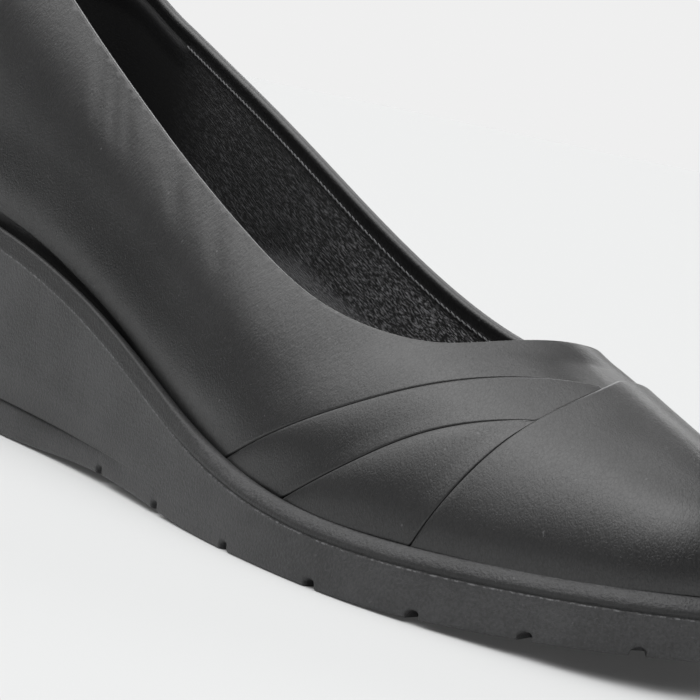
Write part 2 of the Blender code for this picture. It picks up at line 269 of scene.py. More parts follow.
def groove_height(station):
    """Height above the sole's rim of the dark groove under the upper's spread lower edge."""
    return -0.3 + 2.9 * (1.0 - ease(station, 25.0, 120.0))


# Duller patches of the leather, painted darker as shade: station, place across, reach, share of the polish
# lost
DULL_SHADED_PATCHES = (
    (212.0, -5.0, 5.5, 0.34),
    (217.0, -7.0, 4.5, 0.30),
    (234.0, -8.5, 5.0, 0.24),
    (194.0, -25.0, 11.0, 0.12),
)


def polish_and_painted_light_of(places):
    """How high a place lies between the welt and the topline, where the leather is polished most; its tone is
    painted lighter there as light falls on the upper part, with a painted floor reflection low at the waist
    and patches of painted shade.
    """
    station = places[..., 0]
    welt = rim_height(station)
    crest = np.where(station < THROAT, topline_lateral(station), ridge_height(station))
    climbed = places[..., 2] - welt
    # Painted light: the lowest tone of the wall is raised toward the front.
    least = 0.46 * ease(station, 95.0, 165.0) + 0.36 * ease(station, 178.0, 215.0)
    over_groove = climbed - groove_height(station)
    # Painted reflection of the floor: a lighter band just above the groove, from the heel to the waist.
    spread = 0.3 * (1.0 - ease(over_groove, 0.0, 11.0)) * (1.0 - ease(station, 125.0, 165.0))
    polish_and_painted_light = np.maximum(least + (1.0 - least) * ease(climbed / (crest - welt), 0.2, 0.8), spread)
    for at_station, at_side, reach, lost in DULL_SHADED_PATCHES:
        apart = np.hypot(station - at_station, places[..., 1] - at_side)
        polish_and_painted_light = polish_and_painted_light * (1.0 - lost * np.exp(-(apart / reach) ** 2))
    return polish_and_painted_light


# Mesh helpers
shoe = bpy.data.collections.new("wedge_slip_on_shoe")
bpy.context.scene.collection.children.link(shoe)


def lay(form, places, **marks):
    """Adds a grid to a form and sets its points, in millimetres, and the marks that materials read there."""
    columns = places.shape[0] - 1
    rows = places.shape[1] - 1
    spots = (places - MIDDLE) * MM
    marks["polish_and_painted_light"] = polish_and_painted_light_of(places)
    layers = {name: form.verts.layers.float.get(name) or form.verts.layers.float.new(name) for name in marks}
    made = bmesh.ops.create_grid(form, x_segments=columns, y_segments=rows, size=1.0)["verts"]
    for vert in made:
        column = round((vert.co.x + 1.0) / 2.0 * columns)
        row = round((vert.co.y + 1.0) / 2.0 * rows)
        vert.co = spots[column, row]
        for name, mark in marks.items():
            vert[layers[name]] = mark[column, row]
    return made


def piece(name, form, finish, away, stands_for=()):
    """Welds a form, turns it outward and makes it a piece of the shoe."""
    bmesh.ops.remove_doubles(form, verts=form.verts[:], dist=0.00002)
    bmesh.ops.recalc_face_normals(form, faces=form.faces[:])
    form.normal_update()
    facing = sum(face.normal.dot(away(face.calc_center_median())) * face.calc_area() for face in form.faces)
    if facing < 0.0:
        bmesh.ops.reverse_faces(form, faces=form.faces[:])
    mesh = bpy.data.meshes.new(name)
    form.to_mesh(mesh)
    form.free()
    mesh.polygons.foreach_set("use_smooth", [True] * len(mesh.polygons))
    mesh.materials.append(finish)
    made = bpy.data.objects.new(name, mesh)
    shoe.objects.link(made)
    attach(made, "root")
    if stands_for:
        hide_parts(*stands_for)
    return made


def outward(middle):
    return middle - Vector((middle.x * 0.8, 0.0, 0.03))


def inward(middle):
    return -outward(middle)


def upward(middle):
    return Vector((0.0, 0.0, 1.0))


# Shader maths
class Value:
    """A shader socket that sums can be written with."""

    def __init__(self, finish, socket):
        self.finish = finish
        self.socket = socket

    def sum(self, operation, *others):
        sockets = {i: other for i, other in enumerate((self, *others))}
        return self.finish.node("ShaderNodeMath", {"operation": operation}, sockets)

    def __add__(self, other):
        return self.sum("ADD", other)

    __radd__ = __add__

    def __mul__(self, other):
        return self.sum("MULTIPLY", other)

    __rmul__ = __mul__

    def __sub__(self, other):
        return self.sum("SUBTRACT", other)

    def __rsub__(self, other):
        return self.finish.node("ShaderNodeMath", {"operation": "SUBTRACT"}, {0: other, 1: self})

    def __truediv__(self, other):
        return self.sum("DIVIDE", other)

    def clamp(self, low=0.0, high=1.0):
        return self.finish.node("ShaderNodeClamp", {}, {0: self, 1: low, 2: high})

    def step(self, start, end):
        """Smooth change from 0 at start to 1 at end."""
        sockets = {"Value": self, "From Min": start, "From Max": end}
        return self.finish.node("ShaderNodeMapRange", {"interpolation_type": "SMOOTHSTEP"}, sockets)


class Finish:
    """Nodes of one material or of the studio's light."""

    def __init__(self, owner):
        self.owner = owner
        owner.use_nodes = True
        self.tree = owner.node_tree

    def node(self, kind, settings, sockets, output=0):
        made = self.tree.nodes.new(kind)
        for key, value in settings.items():
            setattr(made, key, value)
        for key, value in sockets.items():
            if isinstance(value, Value):
                self.tree.links.new(value.socket, made.inputs[key])
            else:
                made.inputs[key].default_value = value
        return Value(self, made.outputs[output])

    def place(self, scale=(1.0, 1.0, 1.0), turn=(0.0, 0.0, 0.0)):
        """Object coordinates for a pattern that is stretched along its own turned axes."""
        spot = self.node("ShaderNodeTexCoord", {}, {}, "Object")
        settings = {"vector_type": "TEXTURE"}
        sockets = {"Vector": spot, "Rotation": turn, "Scale": scale}
        return self.node("ShaderNodeMapping", settings, sockets)

    def axis(self, letter):
        """One Object coordinate in metres."""
        spot = self.node("ShaderNodeTexCoord", {}, {}, "Object")
        return self.node("ShaderNodeSeparateXYZ", {}, {0: spot}, letter)

    def mark(self, name):
        """A mark that the mesh carries at its points."""
        return self.node("ShaderNodeAttribute", {"attribute_name": name}, {}, "Fac")

    def noise(self, spot, scale, detail=3.0, rough=0.55):
        sockets = {"Vector": spot, "Scale": scale, "Detail": detail, "Roughness": rough}
        return self.node("ShaderNodeTexNoise", {}, sockets, "Fac")

    def cells(self, spot, scale):
        """Distance from the edges in a net of cells."""
        settings = {"feature": "DISTANCE_TO_EDGE"}
        return self.node("ShaderNodeTexVoronoi", settings, {"Vector": spot, "Scale": scale}, "Distance")

    def blend(self, mask, first, second):
        """Mix of two colours."""
        return self.node("ShaderNodeMix", {"data_type": "RGBA"}, {0: mask, 6: first, 7: second}, 2)

    def bump(self, height, distance, strength=1.0, under=None):
        sockets = {"Height": height, "Distance": distance, "Strength": strength}
        if under is not None:
            sockets["Normal"] = under
        return self.node("ShaderNodeBump", {}, sockets)


def surface(name, fixed):
    """New material whose shader has these constant values."""
    finish = Finish(bpy.data.materials.new(name))
    finish.shader = finish.tree.nodes["Principled BSDF"]
    for key, value in fixed.items():
        finish.shader.inputs[key].default_value = value
    return finish


def feed(finish, **links):
    """Links varying values to the shader's sockets."""
    for key, value in links.items():
        finish.tree.links.new(value.socket, finish.shader.inputs[key.replace("_", " ")])
    return finish.owner


def grey(shade):
    return (shade, shade, shade * 1.03, 1.0)


# Leather: satin, with pebble grain, wrinkles where it is polished, light dust, painted highlights on its
# rolled edges, painted shade in its creases and a tone painted lighter higher up
LEATHER_DARK = grey(0.005)
LEATHER_LIGHT = grey(0.011)
LEATHER_EDGE_HIGHLIGHT = grey(0.14)
CREASE_PAINTED_SHADE = grey(0.002)
DUST = grey(0.2)


def satin_leather(name, wrinkle_turn):
    leather = surface(name, {"Specular IOR Level": 0.41, "Coat Roughness": 0.30, "Coat IOR": 1.45})
    spot = leather.place()
    drift = leather.noise(spot, 45.0, 3.0)
    grain = leather.cells(leather.place(scale=(1.0, 1.0, 1.5)), 1900.0)
    pores = leather.noise(leather.place(scale=(1.0, 1.0, 2.6)), 3300.0, 3.0, 0.6)
    sway = leather.noise(spot, 75.0, 2.0)
    dust = leather.noise(spot, 650.0, 1.0)
    deep = leather.mark("crease")
    polish_and_painted_light = leather.mark("polish_and_painted_light")
    # Tone painted lighter where the polish mark is high, as light falls on the upper wall, and darker in its
    # painted-shade patches.
    tone = leather.blend((drift - 0.5 + polish_and_painted_light).clamp(), LEATHER_DARK, LEATHER_LIGHT)
    tone = leather.blend(dust.step(0.765, 0.805) * 0.30, tone, DUST)
    # Painted highlight: a light line on the collar's outer turn and on the rolled edges of pleats and toe
    # overlay, where they catch the light.
    tone = leather.blend(leather.mark("worn"), tone, LEATHER_EDGE_HIGHLIGHT)
    # Painted shade: near black, rougher and without coat in the creases between layers, under the next piece
    # and in the groove over the lip.
    tone = leather.blend(deep, tone, CREASE_PAINTED_SHADE)
    rough = 0.30 + 0.08 * drift + 0.06 * pores + 0.4 * deep
    relief = leather.bump(grain.step(0.0, 0.30), 0.00008, 0.35)
    relief = leather.bump(pores, 0.00013, 0.7, relief)
    relief = leather.bump(sway, 0.0012, 0.22, relief)
    wrinkles = leather.noise(leather.place(scale=(1.0, 1.0, 3.6), turn=(0.0, wrinkle_turn, 0.0)), 1000.0, 2.0)
    relief = leather.bump(wrinkles, 0.0003, polish_and_painted_light.step(0.4, 1.0) * 0.55, relief)
    cracks = 1.0 - leather.cells(leather.place(scale=(1.0, 1.0, 1.9)), 1300.0).step(0.0, 0.16)
    gloss = 0.95 + 0.15 * drift + 0.8 * (pores - 0.5)
    shine = gloss * (1.0 - 0.24 * cracks) * (0.06 + 0.94 * polish_and_painted_light) * (1.0 - deep)
    return feed(leather, Base_Color=tone, Roughness=rough, Coat_Weight=shine, Normal=relief)


upper_leather = satin_leather("satin_upper_leather", 0.45)
fold_leather = satin_leather("satin_fold_leather", -0.2)

# Lining: fibrous, with light specks along slanting streaks, painted lighter toward the front where the inside
# faces up to the light, and a paler lower part; smooth at the heel
lining_finish = surface("fibrous_lining", {"Specular IOR Level": 0.4})
slanted = {"turn": (0.0, 0.45, 0.0)}
streaks = lining_finish.noise(lining_finish.place(scale=(8.0, 1.0, 1.0), **slanted), 3200.0, 3.0, 0.6)
flecks = lining_finish.noise(lining_finish.place(scale=(6.0, 1.0, 1.0), **slanted), 5000.0, 3.0, 0.65)
clumps = lining_finish.noise(lining_finish.place(scale=(2.0, 1.0, 1.0), **slanted), 120.0, 3.0)
lining_along = lining_finish.axis("X")
fibre = lining_along.step(-0.100, -0.068)
lining_level = lining_finish.axis("Z") + 0.33 * lining_along.clamp(-0.033, 1.0)
lower = lining_level.step(0.0440, 0.0385) * fibre * (0.35 + 0.65 * flecks.step(0.38, 0.6))
# Painted light: the specks grow lighter toward the front, where the inside faces up.
forward = lining_along.step(-0.05, 0.055)
light_fleck = (0.45 * flecks + 0.55 * streaks).step(0.48, 0.62) * fibre * clumps.step(0.1, 0.5)
fibre_tone = lining_finish.blend(forward, grey(0.11), grey(0.56))
lining_tone = lining_finish.blend(lower, grey(0.014), grey(0.20))
lining_tone = lining_finish.blend(light_fleck, lining_tone, fibre_tone)
lining_tone = lining_finish.blend(lining_finish.mark("tape") * 0.85, lining_tone, grey(0.012))
lining_rough = 0.55 + 0.15 * fibre
lining_relief = lining_finish.bump(streaks, 0.0004, 0.15 + 0.6 * fibre)
lining_relief = lining_finish.bump(flecks, 0.0002, 0.1 + 0.6 * fibre, lining_relief)
feed(lining_finish, Base_Color=lining_tone, Roughness=lining_rough, Normal=lining_relief)

# Sole: matt moulded rubber with fine speckle, stray light specks, painted shade on the lip, toward the toe
# only on its lower part, and light specks along the mould flash
rubber = surface("matt_moulded_rubber", {"Specular IOR Level": 0.5})
speckle = rubber.noise(rubber.place(), 1700.0, 3.0, 0.6)
mottle = rubber.noise(rubber.place(), 60.0, 3.0)
stray = rubber.noise(rubber.place(), 900.0, 1.0)
rubber_tone = rubber.blend((0.45 * mottle + 0.55 * speckle).step(0.36, 0.64), grey(0.024), grey(0.047))
rubber_tone = rubber.blend(stray.step(0.75, 0.80) * 0.2, rubber_tone, grey(0.18))
# Painted shade on the lip: all of it toward the heel, its lower part toward the toe, where its top faces the
# light.
rubber_tone = rubber.blend(rubber.mark("lip") * 0.75, rubber_tone, grey(0.006))
# Light specks along the mould flash line.
flash_specks = rubber.noise(rubber.place(), 1300.0, 2.0)
rubber_tone = rubber.blend(rubber.mark("crease") * flash_specks.step(0.46, 0.62), rubber_tone, grey(0.15))
brushing = rubber.noise(rubber.place(scale=(9.0, 9.0, 1.0)), 1400.0, 2.0)
rubber_relief = rubber.bump(speckle, 0.0003, 0.8)
rubber_relief = rubber.bump(brushing, 0.00012, 0.5, rubber_relief)
feed(rubber, Base_Color=rubber_tone, Roughness=0.40 + 0.10 * mottle, Normal=rubber_relief)

# Tread underneath: similar rubber with cross grooves
tread = surface("grooved_tread_rubber", {"Specular IOR Level": 0.42})
groove = tread.node("ShaderNodeTexWave", {"bands_direction": "X"}, {"Vector": tread.place(), "Scale": 55.0})
tread_mottle = tread.noise(tread.place(), 80.0, 3.0)
tread_tone = tread.blend(tread_mottle.step(0.3, 0.7), grey(0.028), grey(0.045))
tread_relief = tread.bump(groove.step(0.2, 0.5), 0.0008, 0.8)
feed(tread, Base_Color=tread_tone, Roughness=0.55 + 0.1 * tread_mottle, Normal=tread_relief)

# Footbed: soft napped leather
nap = surface("napped_footbed_leather", {"Specular IOR Level": 0.3})
nap_grain = nap.noise(nap.place(), 900.0, 4.0, 0.6)
nap_tone = nap.blend(nap.noise(nap.place(), 40.0, 3.0).step(0.3, 0.7), grey(0.015), grey(0.03))
feed(nap, Base_Color=nap_tone, Roughness=0.7 + 0.15 * nap_grain, Normal=nap.bump(nap_grain, 0.0002, 0.4))

# Thread: twisted light grey
thread = surface("light_grey_thread", {"Specular IOR Level": 0.35})
twist = thread.noise(thread.place(), 2500.0, 2.0)
thread_tone = thread.blend(twist.step(0.3, 0.7), grey(0.09), grey(0.2))
feed(thread, Base_Color=thread_tone, Roughness=0.6 + 0.1 * twist, Normal=thread.bump(twist, 0.0001, 0.5))


# Upper: outer wall to the collar, and in front of the waist to the first fold line
COLLAR_COLUMNS = 130
WELT_COLUMNS = {LATERAL: 14, MEDIAL: 24}
END_COLUMNS = 26
VAMP_ROWS = 55
LINE_SAMPLES = 400
WAIST = 116.0
SWELL = 0.6
SWELL_REACH = 16.0
RIM_REACH = 7.0
CROWN_DROP = 0.8
BULGE = 1.35
BULGE_REACH = 15.5
FLARE = 0.85

# Where a layer ends in a crease: its last rows' distances from the end, its bend, its rows under the next
SHOULDER = (0.0, 0.07, 0.16, 0.28, 0.42, 0.6, 0.9, 1.4, 2.2, 3.4)
SHOULDER_WIDTH = 0.5
SHOULDER_DEPTH = 0.8
TUCKS = (0.8, 3.0)
TUCK_DROP = 0.03

# Soft troughs under the collar: station and height of both ends, half width, depth
TROUGHS = (
    (55, 91, 66, 74, 2.0, 0.26),
    (62, 87, 75, 70, 2.0, 0.30),
    (69, 84, 82, 68, 2.0, 0.22),
    (97, 71, 108, 58, 2.4, 0.20),
    (118, 63, 131, 50, 2.4, 0.16),
)


def shoulder_drop(away):
    """How far a layer bends down into the crease at its front edge."""
    near = np.clip((SHOULDER_WIDTH - away) / SHOULDER_WIDTH, 0.0, 1.0)
    return SHOULDER_DEPTH * (1.0 - np.sqrt(1.0 - near ** 2))


def shoulder_painted_shade(away):
    """Painted shade on a layer in the crease at its front edge."""
    return 1.0 - ease(away, 0.02, 0.42)


def first_fold(across):
    return np.where(across < 0.0, np.minimum(rear_line(across), toe_line(across)), toe_line(across))


def gone_along(places):
    """Length gone along a line of places."""
    steps = np.linalg.norm(np.diff(places, axis=0), axis=-1)
    return np.concatenate(([0.0], np.cumsum(steps)))


def even(run, rise, side, count):
    """Evenly spaced points along a line on the wall."""
    gone = gone_along(wall(run, rise, side))
    wanted = np.linspace(0.0, gone[-1], count + 1)
    return np.interp(wanted, gone, run), np.interp(wanted, gone, rise)


def closing(run, rise, side, count):
    """Points along a line on the wall, close together near its end."""
    gone = gone_along(wall(run, rise, side))
    open_part = np.linspace(0.0, gone[-1] - SHOULDER[-1], count)
    wanted = np.concatenate((open_part, gone[-1] - np.array(SHOULDER[-2::-1])))
    return np.interp(wanted, gone, run), np.interp(wanted, gone, rise)


def nearest(places, others):
    """Distance of each place from a line of others."""
    flat = places.reshape(-1, 3)
    found = [np.min(np.linalg.norm(spot[None, :] - others, axis=1)) for spot in flat]
    return np.array(found).reshape(places.shape[:-1])


def bulge(away):
    """How far the wall stands out below the collar's edge."""
    near = 1.0 - np.clip(1.0 - away / BULGE_REACH, 0.0, 1.0) ** 2
    return BULGE * near * (1.0 - ease(away, BULGE_REACH, 48.0))


def flare(run, rise, side):
    """How far the wall spreads above the groove over the sole's lip and how deep it lies in the groove, with
    the painted shade in the groove.
    """
    climbed = np.linalg.norm(wall(run, rise, side) - wall(run, 0.0, side), axis=-1)
    station = station_of(run)
    over = climbed - SEAT_DEPTH + FEATHER_RAISE - groove_height(station)
    share = 0.6 + 0.4 * ease(station, 50.0, 100.0) - 0.35 * ease(station, 125.0, 155.0)
    most = FLARE * ease(station, HEEL_BACK, 30.0) * share
    spread = most * (0.58 + 0.42 * ease(over, -2.0, 6.0)) * (1.0 - ease(over, 5.0, 19.0))
    sill = (most + 0.25) * (0.3 + 0.7 * ease(station, 45.0, 80.0)) * (1.0 - ease(station, 88.0, 132.0))
    # Painted shade in the groove over the lip.
    sunk = 0.35 * ease(-over, 0.1, 0.7) * ease(station, 40.0, 75.0) * (1.0 - ease(station, 85.0, 120.0))
    return spread - sill * ease(-over, 0.0, 0.9), sunk


def troughs(places):
    """Soft troughs in the leather under the collar on the outer side."""
    sunk = 0.0
    for station, height, to_station, to_height, width, depth in TROUGHS:
        way = np.array((to_station - station, to_height - height))
        reach = places[..., 0::2] - np.array((station, height))
        along = np.clip(reach @ way / (way @ way), 0.0, 1.0)
        apart = np.linalg.norm(reach - along[..., None] * way, axis=-1)
        fading = np.sin(math.pi * np.clip(along, 0.02, 0.98)) ** 0.5
        sunk = sunk - depth * np.exp(-(apart / width) ** 2) * fading
    return np.where(places[..., 1] < 0.0, sunk, 0.0)


def rim_line(side, count):
    """Points along the topline of one side."""
    runs = cut_runs(side, 0.0, count)
    return wall(runs, cut_rise(runs, side, 0.0), side)


fold_acrosses = np.linspace(-1.0, 1.0, 700)
fold_points = skin(run_of(first_fold(fold_acrosses)), fold_acrosses, 0.0)
rim_points = np.concatenate([rim_line(side, 300) for side in SIDES])


def vamp(form, runs, side, under_throat, tip):
    """Wall between the waist and the first fold line, swelling toward it and bending into the crease."""
    start = float(run_of(first_fold(np.array(side))))
    welt_line = np.linspace(runs[0], start, 200)
    welt_run, welt_rise = even(welt_line, np.zeros_like(welt_line), side, WELT_COLUMNS[side])
    acrosses = np.linspace(side, under_throat, LINE_SAMPLES)
    line_columns = len(runs) - len(welt_run)
    line_run, line_rise = even(run_of(first_fold(acrosses)), 1.0 - np.abs(acrosses), side, line_columns)
    acrosses = np.linspace(under_throat, tip, LINE_SAMPLES)
    end_run, end_rise = closing(run_of(first_fold(acrosses)), 1.0 - np.abs(acrosses), side, END_COLUMNS)
    ridge_run = np.linspace(runs[-1], float(run_of(first_fold(np.array(0.0)))), LINE_SAMPLES)
    crown_run, crown_rise = closing(ridge_run, np.ones_like(ridge_run), side, END_COLUMNS)
    low_run = np.concatenate((welt_run, line_run[1:], end_run[1:]))
    low_rise = np.concatenate((welt_rise, line_rise[1:], end_rise[1:]))
    top_run = np.concatenate((runs, crown_run[1:]))
    top_rise = np.concatenate((cut_rise(runs, side, 0.0), crown_rise[1:]))
    share = np.linspace(0.0, 1.0, 161)
    run = low_run[:, None] + (top_run - low_run)[:, None] * share[None, :]
    rise = low_rise[:, None] + (top_rise - low_rise)[:, None] * share[None, :]
    places = wall(run, rise, side)
    spacing = np.linspace(0.0, 1.0, VAMP_ROWS + 1)[1:] ** 1.35
    shares = []
    for column in places:
        gone = gone_along(column)
        wanted = np.concatenate((SHOULDER, SHOULDER[-1] + (gone[-1] - SHOULDER[-1]) * spacing))
        shares.append(np.interp(wanted, gone, share))
    shares = np.array(shares)
    run = low_run[:, None] + (top_run - low_run)[:, None] * shares
    rise = low_rise[:, None] + (top_rise - low_rise)[:, None] * shares
    places = wall(run, rise, side)
    away = nearest(places, fold_points)
    below = nearest(places, rim_points)
    by_fold = 1.0 - ease(away, 1.0, SWELL_REACH)
    off_rim = ease(below, 0.0, RIM_REACH)
    crown = ease(rise, 0.72, 0.97) * off_rim
    lift = SWELL * by_fold * off_rim * (1.0 - crown) - CROWN_DROP * crown - shoulder_drop(away)
    spread, sunk = flare(run, rise, side)
    under_collar = bulge(below) * (1.0 - ease(station_of(run), 140.0, 180.0)) + troughs(places)
    lift = lift + under_collar * (1.0 - by_fold)
    lift = lift + spread * (1.0 - 0.55 * by_fold)
    # Painted shade in the crease at the front edge and in the groove.
    crease = np.maximum(shoulder_painted_shade(away), sunk)
    tucked = np.arange(len(low_run)) >= len(welt_run)
    flap = [np.where(tucked, run_of(station_of(low_run) + reach), low_run)[:, None] for reach in TUCKS[::-1]]
    all_run = np.concatenate((*flap, run), 1)
    all_rise = np.concatenate((low_rise[:, None], low_rise[:, None], rise), 1)
    all_lift = np.concatenate((lift[:, :1], lift[:, :1], lift), 1)
    all_crease_shade = np.concatenate((crease[:, :1], crease[:, :1], crease), 1)
    last_station = station_of(all_run[-1:])
    for reach in TUCKS:
        all_run = np.concatenate((all_run, run_of(last_station + reach)))
        all_rise = np.concatenate((all_rise, all_rise[-1:]))
        all_lift = np.concatenate((all_lift, np.full_like(all_lift[-1:], -SHOULDER_DEPTH - TUCK_DROP)))
        all_crease_shade = np.concatenate((all_crease_shade, np.ones_like(all_crease_shade[-1:])))
    lay(form, skin(all_run, side * (1.0 - all_rise), all_lift), crease=all_crease_shade)
    return rise[0] / top_rise[0]


upper_form = bmesh.new()
for side, under_throat, tip in ((LATERAL, -0.42, -0.12), (MEDIAL, 0.45, 0.12)):
    runs = cut_runs(side, 0.0, COLLAR_COLUMNS)
    waist = int(np.argmin(np.abs(station_of(runs) - WAIST)))
    climb = vamp(upper_form, runs[waist:], side, under_throat, tip)
    tops = cut_rise(runs[:waist + 1], side, 0.0)
    rear_run, rear_rise = np.broadcast_arrays(runs[:waist + 1, None], tops[:, None] * climb[None, :])
    places = wall(rear_run, rear_rise, side)
    spread, sunk = flare(rear_run, rear_rise, side)
    rear_lift = bulge(nearest(places, rim_points)) + spread + troughs(places)
    lay(upper_form, skin(rear_run, side * (1.0 - rear_rise), rear_lift), crease=sunk)


def collar_loop(drop, count):
    """Points, outward directions and up directions once round the lowered topline."""
    points = []
    normals = []
    for side in SIDES:
        runs = cut_runs(side, drop, count)
        rises = cut_rise(runs, side, drop)
        runs, rises = (runs, rises) if side < 0 else (runs[-2::-1], rises[-2::-1])
        points.append(wall(runs, rises, side))
        normals.append(wall_normal(runs, rises, side))
    points = np.concatenate(points)
    normals = np.concatenate(normals)
    ring = points[:-1]
    along = np.roll(ring, -1, 0) - np.roll(ring, 1, 0)
    along = unit(np.concatenate((along, along[:1])))
    rising = unit(np.cross(along, normals))
    if rising[0, 2] < 0.0:
        rising = -rising
    return points, normals, rising


# Collar: tight outer turn, rounder inner turn, then the leather's turned-in facing with its cut edge
OUTER_TURN = (1.0, 0.45)
INNER_TURN = (1.3, 1.95)
FACING_ROWS = ((0.0, 0.4), (0.0, 0.9), (0.0, 1.35), (0.0, 1.7), (-0.08, 1.95), (-0.3, 2.05), (-0.9, 2.05))
EDGE_HIGHLIGHT_ROWS = slice(3, 5)
collar_points, collar_normals, collar_rising = collar_loop(0.0, COLLAR_COLUMNS)
lean = math.atan(2.0 * BULGE / BULGE_REACH)
turned_out = collar_normals * math.cos(lean) + collar_rising * math.sin(lean)
turned_up = collar_rising * math.cos(lean) - collar_normals * math.sin(lean)
roll_rows = []
for turn in np.linspace(0.0, math.pi / 2.0, 6):
    reach = OUTER_TURN[0] * (1.0 - math.cos(turn))
    roll_rows.append(collar_points - turned_out * reach + turned_up * (OUTER_TURN[1] * math.sin(turn)))
for turn in np.linspace(0.0, math.pi / 2.0, 11)[1:]:
    reach = OUTER_TURN[0] + INNER_TURN[0] * math.sin(turn)
    climb = OUTER_TURN[1] - INNER_TURN[1] * (1.0 - math.cos(turn))
    roll_rows.append(collar_points - turned_out * reach + turned_up * climb)
facing_top = roll_rows[-1]
for reach, drop in FACING_ROWS:
    roll_rows.append(facing_top - collar_normals * reach - collar_rising * drop)
# Painted highlight along the top of the collar's outer turn.
worn_mark = np.zeros((len(collar_points), len(roll_rows)))
worn_mark[:, EDGE_HIGHLIGHT_ROWS] = 0.8
lay(upper_form, np.stack(roll_rows, 1), worn=worn_mark)
piece("upper_leather_shell", upper_form, upper_leather, outward, ("upper",))

# Lining: inside of the upper, taped below the facing and padded at the heel, its top edge behind the facing
LINING_STEPS = 1.0 - np.linspace(0.0, 1.0, 46) ** 1.6
LINING_REAR_COLUMNS = 110
LINING_FRONT_COLUMNS = 40
LINING_DEPTH = 1.95
PADDING = 0.7
lining_form = bmesh.new()
for side in SIDES:
    rear = cut_runs(side, LINING_TOP, LINING_REAR_COLUMNS)
    front = rear[-1] + (1.0 - rear[-1]) * np.linspace(0.0, 1.0, LINING_FRONT_COLUMNS + 1)[1:]
    runs = np.concatenate((rear, front))
    tops = cut_rise(runs, side, LINING_TOP)
    rises = tops[:, None] * LINING_STEPS[None, :]
    grid = wall(runs[:, None], rises, side)
    drop = np.linalg.norm(grid - grid[:, :1], axis=-1)
    past_heel = ease(grid[..., 0], 32.0, 38.0)
    padded = (1.0 - past_heel) * ease(drop, 0.2, 2.2) * (1.0 - ease(drop, 2.2, 8.0))
    tape = past_heel * (1.0 - ease(drop, 1.6, 3.4)) * (runs[:, None] <= rear[-1])
    lay(lining_form, skin(runs[:, None], side * (1.0 - rises), -LINING_DEPTH - PADDING * padded), tape=tape)
piece("shoe_lining", lining_form, lining_finish.owner, inward)

# Whipped stitch along the facing's cut edge
STITCH_START = 35.0
STITCH_PITCH = 1.75
STITCH_DROP = 1.75
STITCH_THICK = 0.24
STITCH_STRETCH = 4.6
STITCH_SLANT = 0.28
STITCH_END = 2.0


def along_line(reach, gone, line):
    """Value at a length gone along a line of values."""
    return np.array([np.interp(reach, gone, column) for column in line.T])


stitch_form = bmesh.new()
stitch_line = facing_top - collar_normals * STITCH_THICK - collar_rising * STITCH_DROP
gone = gone_along(stitch_line)
for reach in np.arange(STITCH_END, gone[-1] - STITCH_END, STITCH_PITCH):
    spot = along_line(reach, gone, stitch_line)
    if spot[0] < STITCH_START:
        continue
    forward = unit(along_line(reach + 1.0, gone, stitch_line) - spot)
    rising = along_line(reach, gone, collar_rising)
    turn = Vector(forward + STITCH_SLANT * rising).to_track_quat("X", "Z").to_matrix().to_4x4()
    made = bmesh.ops.create_icosphere(stitch_form, subdivisions=1, radius=STITCH_THICK * MM)["verts"]
    bmesh.ops.scale(stitch_form, verts=made, vec=(STITCH_STRETCH, 1.0, 1.0))
    seat = Matrix.Translation(Vector((spot - MIDDLE) * MM))
    bmesh.ops.transform(stitch_form, verts=made, matrix=seat @ turn)
piece("lining_stitches", stitch_form, thread.owner, inward)


# Pleats and toe overlay: each starts in a rolled edge beside a crease and bends into the next crease
ROLLED_EDGE = (
    (0.5, -1.3),
    (0.16, -1.12),
    (0.03, -0.86),
    (0.0, -0.62),
    (0.06, -0.38),
    (0.2, -0.18),
    (0.45, -0.05),
    (0.9, 0.0),
)
EDGE_ROWS = slice(2, 7)


def edge_painted_shade(drop, lit_edge):
    """Painted shade on a row of a rolled edge in its crease, less where the edge carries its painted
    highlight.
    """
    dark = 1.0 if drop < -0.6 else max(0.0, -drop) * 1.2
    return dark * (1.0 - lit_edge * (drop > -0.7))


def slant(line, acrosses, sense):
    """How much further along the shoe than square to the line a distance reaches."""
    station = line(acrosses)
    spots = skin(run_of(station), acrosses, 0.0)
    tangent = unit(np.gradient(spots, axis=0))
    forward = unit(skin(run_of(station + 0.5 * sense), acrosses, 0.0) - spots)
    return 1.0 / np.maximum(np.linalg.norm(np.cross(tangent, forward), axis=-1), 0.35)


def welt_ease(acrosses, least):
    return least + (1.0 - least) * ease(1.0 - np.abs(acrosses), 0.0, 0.15)


